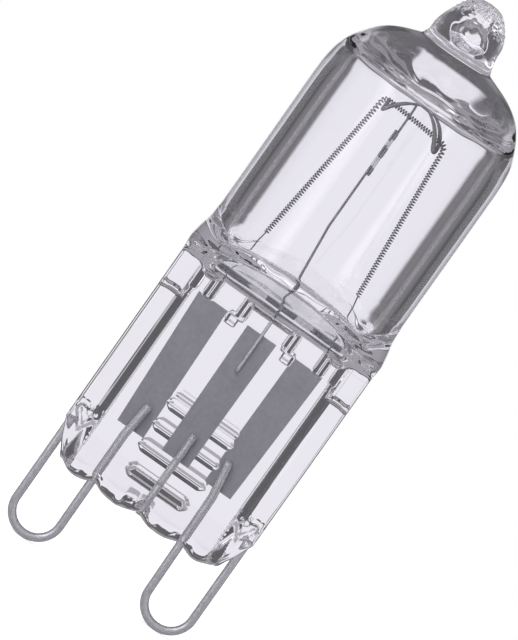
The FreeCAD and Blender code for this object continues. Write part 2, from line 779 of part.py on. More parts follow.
def neck_form():
    """The end of the tube, which spreads as it is pressed flat between the slopes."""
    stages = [
        (0.00, 1.00, 0.0, 0.0, 2.8),
        (0.14, 1.00, 0.0, 0.8, 2.6),
        (0.38, 1.00, 0.3, 1.0, 2.3),
        (1.00, 1.00, 1.0, 0.0, 2),
    ]
    tube = pressed_neck(
        "neck_tube",
        value("pinch_height - shoulder_lap"),
        value("shoulder_top"),
        value("bulb_diameter / 2"),
        value("pinch_width"),
        value("rail_depth"),
        stages,
        value("shoulder_flare"),
    )
    neck = doc.addObject("Part::MultiCommon", "neck_form")
    neck.Shapes = [tube, pressed_slopes()]
    return neck


def gas_foot():
    stages = [
        (0.00, 0.00, 0.0, 0.0, 3.0),
        (0.10, 0.14, 0.4, 0.0, 2.6),
        (0.40, 0.64, 0.9, 0.0, 2.2),
        (1.00, 1.00, 1.0, 0.0, 2),
    ]
    return pressed_neck(
        "gas_foot",
        value("cavity_floor"),
        value("shoulder_top"),
        value("bulb_diameter / 2 - bulb_wall"),
        value("cavity_floor_width"),
        value("cavity_floor_depth"),
        stages,
    )


# Putting the pieces together

def cut_from(label, base, tool):
    """What is left of the base; a welded wire gets its flat land this way."""
    rest = doc.addObject("Part::Cut", label)
    rest.Label = label
    rest.Base = base
    rest.Tool = tool
    return rest


foils = {
    "left": sealing_foil("foil_left", "-foil_left_top", "-foil_left_foot"),
    "centre": sealing_foil("foil_centre", "0", "0"),
    "right": sealing_foil("foil_right", "foil_right_top", "foil_right_foot"),
}
pieces = list(foils.values())
for side, sign in (("left", "-1"), ("right", "1")):
    pieces.append(cut_from(f"contact_loop_{side}", contact_loop(side, sign), foils[side]))
pieces.append(cut_from("centre_lead", centre_lead(), foils["centre"]))
pieces.append(cut_from("support_post", support_post(), foils["centre"]))
outer_foils = doc.addObject("Part::Compound", "outer_foils")
outer_foils.Links = [foils["left"], foils["right"]]
pieces.append(cut_from("filament", filament(), outer_foils))
sealed_in = list(pieces)
pieces.append(support_stem())
pieces.append(filament_hook())

pinch_body = pinch()
pinch_details(pinch_body)
metal = doc.addObject("Part::Compound", "metal_in_glass")
metal.Links = sealed_in
glass = joined("glass_form", [bulb_form(), filling_stub(), neck_form(), pinch_body])
gas = joined("gas_space", [gas_form(), gas_foot()])
blown = cut_from("blown_glass", glass, gas)
pieces.append(cut_from("glass_envelope", blown, metal))
doc.recompute()

# Check everything, then write one file for each piece

for thing in doc.Objects:
    if {"Invalid", "Error"} & set(thing.State):
        raise RuntimeError(f"{thing.Label} did not build: {thing.getStatusString()}")
os.makedirs("parts", exist_ok=True)
for piece in pieces:
    shape = piece.Shape
    if shape.isNull() or not shape.isValid():
        raise RuntimeError(f"{piece.Label} has no sound solid")
for piece in pieces:
    piece.Shape.exportStep(f"parts/{piece.Label}.step")
    print(piece.Label, len(piece.Shape.Solids), round(piece.Shape.Volume, 4))
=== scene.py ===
import bmesh
import bpy
import math
import numpy as np
from mathutils import Matrix, Vector


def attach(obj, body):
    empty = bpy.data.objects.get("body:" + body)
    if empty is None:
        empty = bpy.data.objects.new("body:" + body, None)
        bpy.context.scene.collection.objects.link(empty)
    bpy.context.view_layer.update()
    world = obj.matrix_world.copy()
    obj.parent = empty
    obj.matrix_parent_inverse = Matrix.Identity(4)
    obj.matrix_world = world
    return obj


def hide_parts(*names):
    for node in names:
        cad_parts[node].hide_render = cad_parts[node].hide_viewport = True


# Halogen capsule bulb on a white ground. Lengths are in millimetres, and MM turns them
# into metres. +Z runs up the bulb and the front faces -Y.

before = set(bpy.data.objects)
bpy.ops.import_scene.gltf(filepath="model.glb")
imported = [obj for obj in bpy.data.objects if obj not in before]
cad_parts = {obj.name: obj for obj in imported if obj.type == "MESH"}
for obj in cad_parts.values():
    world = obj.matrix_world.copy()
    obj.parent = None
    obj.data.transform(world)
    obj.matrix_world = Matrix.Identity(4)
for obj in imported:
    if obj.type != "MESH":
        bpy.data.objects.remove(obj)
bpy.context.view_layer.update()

MM = 0.001


def metres(lengths):
    return [length * MM for length in lengths]


# Curves and steps

def smooth(value, low, high):
    """0 below low, 1 above high and a soft step between."""
    t = np.clip((value - low) / (high - low), 0.0, 1.0)
    return t * t * (3 - 2 * t)


def ramp(value, run):
    """0 at an edge, rising evenly to 1 over a run."""
    return np.clip(value / run, 0.0, 1.0)


def bell(value, middle, width):
    """1 in the middle, falling off to both sides."""
    return np.exp(-((value - middle) / width) ** 2)


def smooth_curve(at, known, values):
    """A cubic through known places, with slopes from their neighbours."""
    slopes = np.gradient(values, known)
    place = np.clip(np.searchsorted(known, at) - 1, 0, len(known) - 2)
    gap = known[place + 1] - known[place]
    t = (at - known[place]) / gap
    low, high = values[place], values[place + 1]
    rise_low, rise_high = slopes[place] * gap, slopes[place + 1] * gap
    return (
        (2 * t ** 3 - 3 * t ** 2 + 1) * low
        + (t ** 3 - 2 * t ** 2 + t) * rise_low
        + (3 * t ** 2 - 2 * t ** 3) * high
        + (t ** 3 - t ** 2) * rise_high
    )


def even_steps(outline, count):
    """Radii and heights at even steps along a smooth curve through an outline's places."""
    radii, heights = np.array(outline).T
    known = np.concatenate([[0], np.cumsum(np.hypot(np.diff(radii), np.diff(heights)))])
    at = np.linspace(0, known[-1], count)
    return smooth_curve(at, known, radii), smooth_curve(at, known, heights)


# Objects

def new_object(name, verts, faces, material, uvs=None):
    """A smooth mesh object at the origin; verts are in millimetres."""
    mesh = bpy.data.meshes.new(name)
    mesh.from_pydata([tuple(v) for v in np.asarray(verts) * MM], [], faces)
    mesh.validate()
    mesh.polygons.foreach_set("use_smooth", [True] * len(mesh.polygons))
    if uvs is not None:
        layer = mesh.uv_layers.new(name="UVMap")
        corners = np.empty(len(mesh.loops), dtype=np.int32)
        mesh.loops.foreach_get("vertex_index", corners)
        layer.data.foreach_set("uv", np.asarray(uvs)[corners].astype(np.float32).ravel())
    mesh.materials.append(material)
    thing = bpy.data.objects.new(name, mesh)
    bpy.context.scene.collection.objects.link(thing)
    return thing


def shell_faces(count, columns, start=0, inward=False):
    """Four-sided faces between rows of points that each run all the way round."""
    faces = []
    for row in range(count - 1):
        for column in range(columns):
            after = (column + 1) % columns
            here = start + row * columns + column
            beside = start + row * columns + after
            face = (here, beside, beside + columns, here + columns)
            faces.append((face[0], face[3], face[2], face[1]) if inward else face)
    return faces


def finish_piece(thing, slot, *nodes):
    """Fixes a piece to the bulb, in the place of the solid that it dresses."""
    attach(thing, "root")
    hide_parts(*nodes)
    return thing


# Node trees

class Graph:
    """Short ways to add nodes to a tree and to join them."""

    def __init__(self, tree):
        self.nodes = tree.nodes
        self.links = tree.links

    def add(self, kind, **settings):
        node = self.nodes.new(kind)
        for key, setting in settings.items():
            setattr(node, key, setting)
        return node

    def feed(self, socket, given):
        """Joins a socket to another one, or gives it a plain value."""
        if isinstance(given, bpy.types.NodeSocket):
            self.links.new(given, socket)
        else:
            socket.default_value = given

    def maths(self, operation, *given):
        node = self.add("ShaderNodeMath", operation=operation)
        for socket, value in zip(node.inputs, given):
            self.feed(socket, value)
        return node.outputs[0]

    def chain(self, operation, first, *others):
        """The same operation over any number of values."""
        for other in others:
            first = self.maths(operation, first, other)
        return first

    def vectors(self, operation, first, second):
        node = self.add("ShaderNodeVectorMath", operation=operation)
        self.feed(node.inputs[0], first)
        self.feed(node.inputs[1], second)
        return node.outputs[0]

    def scaled(self, vector, factor):
        node = self.add("ShaderNodeVectorMath", operation="SCALE")
        self.feed(node.inputs[0], vector)
        self.feed(node.inputs["Scale"], factor)
        return node.outputs[0]

    def parts(self, vector):
        """X, Y and Z of a vector, by name."""
        node = self.add("ShaderNodeSeparateXYZ")
        self.feed(node.inputs[0], vector)
        return node.outputs

    def spread(self, value, low, high):
        """Spreads a value between 0 and 1 evenly from low to high."""
        node = self.add("ShaderNodeMapRange")
        self.feed(node.inputs["To Min"], low)
        self.feed(node.inputs["To Max"], high)
        self.feed(node.inputs["Value"], value)
        return node.outputs["Result"]

    def fade(self, value, start, end, before=0.0, after=1.0):
        """Goes softly from one value to another while its input goes from start to end."""
        node = self.add("ShaderNodeMapRange", interpolation_type="SMOOTHSTEP")
        self.feed(node.inputs["From Min"], start)
        self.feed(node.inputs["From Max"], end)
        self.feed(node.inputs["To Min"], before)
        self.feed(node.inputs["To Max"], after)
        self.feed(node.inputs["Value"], value)
        return node.outputs["Result"]

    def stretched(self, vector, stretch):
        node = self.add("ShaderNodeMapping")
        self.feed(node.inputs["Scale"], stretch)
        self.feed(node.inputs["Vector"], vector)
        return node.outputs["Vector"]

    def noise(self, vector, scale, detail=2):
        node = self.add("ShaderNodeTexNoise")
        self.feed(node.inputs["Vector"], vector)
        self.feed(node.inputs["Scale"], scale)
        self.feed(node.inputs["Detail"], detail)
        return node.outputs["Fac"]

    def tones(self, value, dark, light, start=0.0, end=1.0):
        """A colour between a dark one at start and a light one at end."""
        node = self.add("ShaderNodeValToRGB")
        first, last = node.color_ramp.elements
        first.position = start
        first.color = (*dark, 1)
        last.position = end
        last.color = (*light, 1)
        self.feed(node.inputs["Fac"], value)
        return node.outputs["Color"]

    def mix(self, factor, first, second, blend="MIX"):
        """A blend of two colours, whose sockets are told apart by number only."""
        node = self.add("ShaderNodeMix", data_type="RGBA", blend_type=blend)
        self.feed(node.inputs[0], factor)
        self.feed(node.inputs[6], first)
        self.feed(node.inputs[7], second)
        return node.outputs[2]

    def relief(self, height, strength, distance):
        node = self.add("ShaderNodeBump")
        self.feed(node.inputs["Strength"], strength)
        self.feed(node.inputs["Distance"], distance)
        self.feed(node.inputs["Height"], height)
        return node.outputs["Normal"]


# Materials

BLACK = (0, 0, 0, 1)
WHITE = (1, 1, 1, 1)
VIOLET_WHITE = (0.985, 0.96, 1.03, 1)  # the ground and the surroundings, seen through the glass
QUARTZ_BENDING = 1.46  # refractive index of quartz glass
DRAWN = (1, 1, 0.08)  # drawing the tube stretches its waves along it
GLOW_AFTER_BOUNCES = 5.5  # bounces after which the glass gives off its painted glow
# tone of the painted glow
PAINTED_GLOW_TONE = (0.36, 0.344, 0.38)
GLOW_BELOW_DOME = (26.5, 25.5)  # heights between which the painted glow sets in below the dome
GLOW_IN_STUB = (31.1, 31.5)  # and above it, in the stub
MELTED = (31.6, 33.4)  # heights over which the stub's surface grows dull


def new_material(name):
    """A material, its node tree and the inputs of its shader."""
    material = bpy.data.materials.new(name)
    material.use_nodes = True
    tree = material.node_tree
    return material, Graph(tree), tree.nodes["Principled BSDF"].inputs


def mottle_group():
    """Soft two-scale mottling for metals: a colour factor and a height."""
    group = bpy.data.node_groups.new("metal_mottle", "ShaderNodeTree")
    sockets = [
        ("Vector", "INPUT", "NodeSocketVector"),
        ("Coarse", "INPUT", "NodeSocketFloat"),
        ("Fine", "INPUT", "NodeSocketFloat"),
        ("Factor", "OUTPUT", "NodeSocketFloat"),
        ("Height", "OUTPUT", "NodeSocketFloat"),
    ]
    for name, direction, kind in sockets:
        group.interface.new_socket(name, in_out=direction, socket_type=kind)
    graph = Graph(group)
    inside = graph.add("NodeGroupInput").outputs
    outside = graph.add("NodeGroupOutput").inputs
    coarse = graph.noise(inside["Vector"], inside["Coarse"], detail=4)
    fine = graph.noise(inside["Vector"], inside["Fine"], detail=3)
    half_fine = graph.maths("MULTIPLY", fine, 0.5)
    graph.feed(outside["Factor"], graph.maths("MULTIPLY_ADD", coarse, 0.5, half_fine))
    graph.feed(outside["Height"], fine)
    return group


MOTTLE = mottle_group()


def metal(name, dark, light, rough, coarse, fine, bump, stretch=(1, 1, 1), space="Object", metallic=1.0):
    """A metal with mottled tone and roughness and a fine relief."""
    material, graph, shader = new_material(name)
    place = graph.add("ShaderNodeTexCoord").outputs[space]
    group = graph.add("ShaderNodeGroup", node_tree=MOTTLE)
    graph.feed(group.inputs["Vector"], graph.stretched(place, stretch))
    graph.feed(group.inputs["Coarse"], coarse)
    graph.feed(group.inputs["Fine"], fine)
    factor = group.outputs["Factor"]
    graph.feed(shader["Base Color"], graph.tones(factor, dark, light, 0.3, 0.7))
    graph.feed(shader["Roughness"], graph.spread(factor, *rough))
    graph.feed(shader["Normal"], graph.relief(group.outputs["Height"], 0.4, bump))
    graph.feed(shader["Metallic"], metallic)
    return material


def painted_glow(graph, height):
    """A painted glow: the neck and the stub give off a soft grey on rays that have bounced many times,
    in place of light thrown about in the glass.
    """
    bounces = graph.add("ShaderNodeLightPath").outputs["Ray Depth"]
    many_bounces = graph.maths("GREATER_THAN", bounces, GLOW_AFTER_BOUNCES)
    below_dome = graph.fade(height, *metres(GLOW_BELOW_DOME))
    in_stub = graph.fade(height, *metres(GLOW_IN_STUB))
    outside_dome = graph.maths("MAXIMUM", below_dome, in_stub)
    return graph.tones(graph.maths("MULTIPLY", many_bounces, outside_dome), BLACK[:3], PAINTED_GLOW_TONE)


def quartz_material():
    """Clear quartz, a little wavy and dull at the melted top, with painted shade that darkens its colour
    where it is seen edge-on, and a painted glow in the neck and the stub.
    """
    material, graph, shader = new_material("clear_quartz")
    graph.feed(shader["Transmission Weight"], 1.0)
    graph.feed(shader["Metallic"], 0.0)
    graph.feed(shader["IOR"], QUARTZ_BENDING)
    place = graph.add("ShaderNodeTexCoord").outputs["Object"]
    height = graph.parts(place)["Z"]
    wave = graph.noise(graph.stretched(place, DRAWN), 420)
    graph.feed(shader["Normal"], graph.relief(wave, 0.25, 0.01 * MM))
    melted = graph.fade(height, *metres(MELTED), 0.0, 0.3)
    clear = graph.spread(wave, 0.0, 0.003)
    graph.feed(shader["Roughness"], graph.maths("MULTIPLY_ADD", melted, wave, clear))
    # Painted shade: the glass's colour turns grey where a surface is seen edge-on, in place of the dark
    # bands that bent light draws there.
    edge = graph.add("ShaderNodeLayerWeight")
    graph.feed(edge.inputs["Blend"], 0.25)
    tone = graph.tones(edge.outputs["Facing"], (0.995, 0.995, 1.0), (0.86, 0.86, 0.88))
    graph.feed(shader["Base Color"], tone)
    # Painted glow: the neck and the stub give off light, though the glass is no lamp.
    graph.feed(shader["Emission Color"], painted_glow(graph, height))
    graph.feed(shader["Emission Strength"], 1.0)
    return material


QUARTZ = quartz_material()
LOOP_METAL = metal(
    "drawn_contact_wire", dark=(0.5, 0.5, 0.51), light=(0.86, 0.86, 0.87), rough=(0.18, 0.36),
    coarse=3.0, fine=14.0, bump=0.02 * MM, stretch=(6, 1, 1), space="UV",
)
FOIL_METAL = metal(
    "matt_sealing_foil", dark=(0.3, 0.295, 0.325), light=(0.405, 0.4, 0.43), rough=(0.55, 0.75),
    coarse=700, fine=4000, bump=0.01 * MM, metallic=0.35,
)
COIL_METAL = metal(
    "coiled_tungsten", dark=(0.10, 0.10, 0.105), light=(0.22, 0.22, 0.23), rough=(0.3, 0.5),
    coarse=900, fine=6000, bump=0.004 * MM,
)
SUPPORT_METAL = metal(
    "support_wire", dark=(0.16, 0.16, 0.17), light=(0.34, 0.34, 0.35), rough=(0.3, 0.5),
    coarse=900, fine=6000, bump=0.006 * MM,
)


# Pinch: the flat foot of the glass. Thicknesses are halves, from the foils to the front.

WEB = 1.15
RAIL = 1.75
BAND = 1.45
BOSS = 2.0
PINCH_HALF = 6.3  # half the width
PINCH_EDGE = 0.35  # rounding of the upright edges
FOOT_HALF = 5.2  # half the width at the very foot, below the slanted corners
CORNER_TOP = 2.6
WEB_END = 4.6
RAIL_START = 5.2
LEAD_PLACE = 3.04  # how far from the middle the two contact wires come in
SCALLOP_TOP = 0.3
SCALLOP_DEPTH = 0.42
FOOT_ROUNDING = 0.5
FOOT_SECTION = 0.45  # height of the section whose columns the lower edge follows
FOOT_MIDDLE = 0.1  # about halfway up the scallops of the lower edge
FOOT_FADE = (0.5, 1.6)  # heights between which the rows of points turn level
SEGMENTS = 148  # columns of points across the front
WALL = 3  # columns of each end that lie on the side wall

# Bars on the web: lower and upper edge, length, rise, run of the lower and upper slope.
BARS = [
    (3.26, 4.02, 4.56, 0.165, 0.36, 0.38),
    (4.65, 5.41, 4.56, 0.165, 0.36, 0.38),
    (6.04, 6.80, 4.56, 0.165, 0.36, 0.38),
    (6.83, 7.30, 4.4, 0.075, 0.3, 0.17),
    (1.74, 2.45, 4.1, 0.25, 0.3, 0.07),
]
BAR_OFFSET = 0.1  # bars, right of the middle
BAR_TIP = 0.12  # run of the slopes at their pointed ends

# Small square marks beside the centre lead: left, right, lower and upper edge.
MARKS = [(-1.1, -0.45, 0.45, 1.1), (-0.3, 0.55, 0.25, 1.1)]
MARK_RISE = 0.1

# Toothed band above the foils, its windows and the two tiles on its inner teeth.
BAND_FOOT = 12.38
BAND_END = 4.95
WINDOWS = [
    (-4.6, -3.88, 12.1, 13.44),
    (-3.52, -1.73, 12.1, 13.84),
    (-1.37, 1.37, 12.1, 13.44),
    (1.73, 3.52, 12.1, 13.84),
    (3.88, 4.6, 12.1, 13.44),
]
WINDOW_RUNS = (0.24, 0.2, 0.1)  # slopes at the sides, the top and the foot of a window
TILE = (1.52, 2.15, 11.88, 12.5)

# Corner bosses at the top of the rails, with a lower lip that bulges in the middle.
BOSS_START = 4.75
BOSS_LIP = 11.55
BOSS_BULGE = 0.1
BOSS_MIDDLE = 5.5

# Heart-shaped facet at the foot of a rail: two round lobes, place and radius, over a wedge.
HEART_LOBES = [(5.2, 3.45, 0.34), (5.78, 3.4, 0.36)]
HEART_POINT = (5.35, 2.15)
HEART_TOP = 3.5
HEART_DEPTH = 0.11

# Fine upright creases on the rails: place across, lower end and upper end.
CREASES = [(-5.81, 4.6, 9.2), (5.31, 4.4, 10.8), (5.97, 5.2, 9.6)]
CREASE_DEPTH = 0.04
CREASE_WIDTH = 0.07
CREASE_FADE = 0.8


def bar_rise(x, z, low, high, length, foot_run, head_run):
    """How far a bar with pointed ends stands out: a slope above and one below its crest."""
    middle = (low + high) / 2
    to_tip = (length / 2 - np.abs(x - BAR_OFFSET) - np.abs(z - middle)) * math.sqrt(0.5)
    edges = np.minimum(ramp(z - low, foot_run), ramp(high - z, head_run))
    return np.minimum(edges, ramp(to_tip, BAR_TIP))


def box_rise(x, z, left, right, low, high, bevel):
    """A block with softly rounded edges."""
    inside = np.minimum(np.minimum(x - left, right - x), np.minimum(z - low, high - z))
    return smooth(inside, 0.0, bevel)


def window_rise(x, z, left, right, low, high):
    """A window in the toothed band: its sides and its top are slopes."""
    side_run, top_run, foot_run = WINDOW_RUNS
    sides = np.minimum(x - left + side_run / 2, right + side_run / 2 - x) / side_run
    inside = np.minimum(sides, (high + top_run / 2 - z) / top_run)
    return np.clip(np.minimum(inside, (z - low) / foot_run), 0.0, 1.0)


def web_relief(x, z):
    """How far the bars and the marks stand out of the web."""
    relief = np.zeros_like(x)
    for low, high, length, rise, foot_run, head_run in BARS:
        relief = np.maximum(relief, rise * bar_rise(x, z, low, high, length, foot_run, head_run))
    for mark in MARKS:
        relief = np.maximum(relief, MARK_RISE * box_rise(x, z, *mark, bevel=0.12))
    return relief


def band_share(x, z):
    """1 on the toothed band, 0 in its windows and on the web."""
    hollow = np.zeros_like(x)
    for window in WINDOWS:
        hollow = np.maximum(hollow, window_rise(x, z, *window))
    share = ramp(z - BAND_FOOT, 0.06) * ramp(BAND_END - np.abs(x), 0.15) * (1 - hollow)
    for outward in (-1, 1):
        share = np.maximum(share, box_rise(x * outward, z, *TILE, bevel=0.07))
    return share


def boss_share(side, z):
    """1 on a corner boss, 0 beside and below it."""
    lip = BOSS_LIP + BOSS_BULGE * np.cos((side - BOSS_MIDDLE) * 2.2)
    return ramp(side - BOSS_START, 0.2) * ramp(z - lip, 0.16)


def heart(side, z):
    """How deep a place lies inside the heart-shaped facet at the foot of a rail."""
    middle, point = HEART_POINT
    wedge = np.minimum(z - point - 1.7 * np.abs(side - middle), HEART_TOP - z)
    inside = 0.5 * wedge
    for across, height, radius in HEART_LOBES:
        inside = np.maximum(inside, radius - np.hypot(side - across, z - height))
    return inside


def pinch_depth(x, z, half):
    """Half the thickness of the pinch at a place in the front view."""
    side = np.abs(x)
    depth = WEB + (RAIL - WEB) * ramp(side - WEB_END, RAIL_START - WEB_END)
    depth = depth + web_relief(x, z)
    depth = np.maximum(depth, WEB + (BAND - WEB) * band_share(x, z))
    depth = depth + (BOSS - RAIL) * boss_share(side, z)
    depth = depth - HEART_DEPTH * ramp(heart(side, z), 0.16)
    for middle, low, high in CREASES:
        along = smooth(z, low, low + CREASE_FADE) * smooth(-z, -high, -high + CREASE_FADE)
        depth = depth - CREASE_DEPTH * bell(x, middle, CREASE_WIDTH) * along
    rounding = np.clip((side - (half - PINCH_EDGE)) / PINCH_EDGE, 0, 1)
    return depth - PINCH_EDGE * (1 - np.sqrt(np.maximum(0.0, 1 - rounding ** 2)))


def pinch_section(z):
    """Front half of the section, left to right: x and depth for each column."""
    half = PINCH_HALF if z > CORNER_TOP else FOOT_HALF + (PINCH_HALF - FOOT_HALF) * z / CORNER_TOP
    x = np.linspace(-1, 1, SEGMENTS + 1 - 2 * WALL) * half
    depth = pinch_depth(x, np.full_like(x, z), half)
    walls = np.linspace(0, 1, WALL, endpoint=False) * depth[0]
    x = np.concatenate([np.full(WALL, -half), x, np.full(WALL, half)])
    depth = np.concatenate([walls, depth, walls[::-1]])
    return x, depth


def foot_line(x):
    """Height of the scalloped lower edge: one arch on each side of each contact wire."""
    side = np.abs(x)
    inner_arch = np.clip(side / LEAD_PLACE, 0, 1)
    outer_arch = np.clip((side - LEAD_PLACE) / (FOOT_HALF - LEAD_PLACE), 0, 1)
    arch = np.where(side < LEAD_PLACE, inner_arch, outer_arch)
    return SCALLOP_TOP - SCALLOP_DEPTH * np.sin(np.pi * arch) ** 0.8


# Neck: the tube's end, spread to the pinch's width and cut by two pressed slopes.

BULB = 6.05  # radius of the bulb
BULB_WALL = 1.05
NECK_FOOT = 13.85
NECK_TOP = 17.2
NECK_STEP = 0.07
NECK_BLEND = (13.8, 15.0)  # heights between which the pinch's section turns into the tube's
NECK_WIDTHS = ([13.85, 14.3, 14.8, 15.4, 16.2, 17.2], [6.3, 6.38, 6.4, 6.3, 6.12, 6.05])
SLOPE_FOOT = 13.66
SLOPE_TOP = 15.9
SLOPE_EDGE = 0.15  # rounding where a slope meets the tube
SLOPE_RISE = (BULB - BAND) / (SLOPE_TOP - SLOPE_FOOT)
PINCH_SLOPE_RISE = 1.74  # the same slope where it still belongs to the pinch
GAS_FLOOR = 15.0  # flat floor of the gas space
GAS_HALF = 4.2
GAS_DEPTH = 1.1
GAS_ROUNDING = 1.4
GAS_SLOPE_FOOT = 14.12
INNER_COLUMNS = 96

# Where the rows of points lie on the pinch: first, last and step.
ROW_BANDS = [
    (0.8, 1.6, 0.1), (1.6, 2.6, 0.05), (2.6, 3.2, 0.1), (3.2, 7.4, 0.05), (7.4, 11.4, 0.4),
    (11.4, SLOPE_FOOT, 0.055),
]


def cut_by_slope(tube, slope):
    """The smaller of two depths, with a rounded edge where they meet."""
    share = np.clip(0.5 + (tube - slope) / (2 * SLOPE_EDGE), 0, 1)
    return tube * (1 - share) + slope * share - SLOPE_EDGE * share * (1 - share)


def neck_section(z, turn):
    """The tube's end at a height, cut off in front and behind by the pressed slopes."""
    half = np.interp(z, *NECK_WIDTHS)
    squareness = np.interp(z, [NECK_FOOT, NECK_TOP], [2.8, 2.0])
    tube = BULB * np.abs(np.sin(turn)) ** (2 / squareness)
    return -np.cos(turn) * half, cut_by_slope(tube, BAND + (z - SLOPE_FOOT) * SLOPE_RISE)


def streak_depth(depth, x, z):
    """How deep the shallow folds are that the press leaves across the hot neck."""
    across = np.sin(1.9 * x + 0.7 * z) + 0.6 * np.sin(4.3 * x - 1.9 * z + 1)
    along = np.sin(8 * z + 1.2 * np.sin(1.1 * x))
    return 0.022 * bell(z, 15.0, 1.0) * (2.5 + across + 0.8 * along) * smooth(depth, 0.4, 1.6)


# Bulb and stub: radius and height of the places that the outlines pass through.

DOME_START = 25.7
DOME = [
    (6.05, 25.9), (6.02, 26.8), (5.9, 27.7), (5.68, 28.4), (5.4, 28.95), (5.0, 29.55),
    (4.6, 30.0), (4.0, 30.42), (3.4, 30.72), (2.8, 30.95), (2.45, 31.08),
]
STUB = [
    (2.2, 31.22), (2.08, 31.5), (2.02, 31.9), (1.95, 32.3), (1.86, 32.8), (1.7, 33.2),
    (1.45, 33.6), (1.2, 33.95), (0.9, 34.25), (0.55, 34.42), (0.0, 34.49),
]
STUB_OFFSET = -0.15
INNER_DOME_START = 25.8
INNER_DOME = [
    (5.0, 27.0), (4.98, 27.5), (4.85, 27.95), (4.55, 28.28), (4.0, 28.45), (3.2, 28.55),
    (2.3, 28.6), (1.2, 28.62), (0.5, 28.63), (0.0, 28.63),
]
BUBBLE_RADIUS = 0.8
BUBBLE_HALF_HEIGHT = 0.78
BUBBLE_PLACE = (-0.08, 32.25)


def dome_waves(turn, z):
    """Slow waves and finer folds left in the dome by the flame, always a little inside its form."""
    lift = 0.004 * smooth(z, 27.6, 28.8)
    wave = np.sin(3 * turn + 1.3 * z) + 0.7 * np.sin(7 * turn - 2.1 * z + 1)
    wave = wave + 0.5 * np.sin(16 * turn + 3 * z)
    folds = 0.5 * np.sin(23 * turn - 4 * z + 2 * np.sin(5 * turn)) * smooth(z, 29.3, 30.2)
    return lift * (2.1 + wave + folds)


def stub_waves(turn, z):
    """Uneven facets of the melted stub, across and from front to back."""
    lift = smooth(z, 31.3, 32.0)
    across = 0.02 * np.sin(3 * turn + 2.2 * z) + 0.01 * np.sin(7 * turn - 3.1 * z)
    through = 0.03 * np.sin(2.6 * turn + 1.5 * z + 0.8) + 0.012 * np.sin(9 * turn + 4.2 * z)
    melt = 0.05 * smooth(z, 32.9, 33.4) * np.sin(11 * turn + 9 * z) * np.sin(5 * turn - 13 * z)
    return across * lift + melt, through * lift + melt


def all_round(x, depth, z):
    """A closed row of points from the front half of a section, which the back mirrors."""
    z = np.broadcast_to(z, x.shape)
    front = np.stack([x, -depth, z], axis=1)
    back = np.stack([x, depth, z], axis=1)[::-1]
    return np.concatenate([front[:-1], back[:-1]])


def foot_rows(line):
    """The rounded lower edge, a little uneven, which follows the scalloped line."""
    x = pinch_section(FOOT_SECTION)[0]
    uneven = 1 + 0.4 * np.sin(4.1 * x + 1.0) * np.sin(1.7 * x) + 0.08 * np.sin(11 * x)
    rows = []
    for turn in np.linspace(0, np.pi / 2, 8):
        lift = FOOT_ROUNDING * (1 - math.cos(turn))
        x, depth = pinch_section(FOOT_MIDDLE + lift)
        rows.append(all_round(x, depth * math.sin(turn), line + lift * uneven))
    return rows


def pinch_rows(line):
    """The flat stretch, whose lowest rows still follow the scalloped line."""
    rows = []
    for z in np.concatenate([np.arange(*band) for band in ROW_BANDS]):
        x, depth = pinch_section(z)
        rows.append(all_round(x, depth, z + (line - FOOT_MIDDLE) * (1 - smooth(z, *FOOT_FADE))))
    return rows


def neck_rows(turn):
    """From the pinch's section to the round bulb."""
    rows = []
    for z in np.arange(SLOPE_FOOT, NECK_TOP, NECK_STEP):
        x_low, depth_low = pinch_section(z)
        if z > SLOPE_FOOT:
            depth_low = np.maximum(depth_low, BAND + (z - SLOPE_FOOT) * PINCH_SLOPE_RISE)
        x_high, depth_high = neck_section(z, turn)
        share = float(smooth(z, *NECK_BLEND))
        x = (1 - share) * x_low + share * x_high
        depth = (1 - share) * depth_low + share * depth_high
        rows.append(all_round(x, depth - streak_depth(depth, x, z), z))
    return rows


def bulb_rows(turn):
    """The round tube and its dome."""
    straight = [(BULB, z) for z in np.linspace(NECK_TOP, DOME_START, 8)]
    rows = []
    for radius, z in straight + list(zip(*even_steps(DOME, 26))):
        radius = radius * (1 - dome_waves(turn, z))
        rows.append(all_round(-np.cos(turn) * radius, np.sin(turn) * radius, z))
    return rows


def stub_rows(turn):
    """The sealed filling stub, closed at its top."""
    radii, heights = even_steps(STUB, 40)
    radii = np.maximum(0, radii)
    radii[-1] = 0
    rows = []
    for radius, z in zip(radii, heights):
        across, through = stub_waves(turn, z)
        x = -np.cos(turn) * radius * (1 + across) + STUB_OFFSET
        rows.append(all_round(x, np.sin(turn) * radius * (1 + through), z))
    return rows


def outer_rows():
    """Rows of the outer surface, from the foot to the top of the stub."""
    turn = np.linspace(0, np.pi, SEGMENTS + 1)
    line = foot_line(pinch_section(FOOT_SECTION)[0])
    return foot_rows(line) + pinch_rows(line) + neck_rows(turn) + bulb_rows(turn) + stub_rows(turn)


def inner_row(x, depth, z):
    return np.stack([x, depth, np.full_like(x, z)], axis=1)


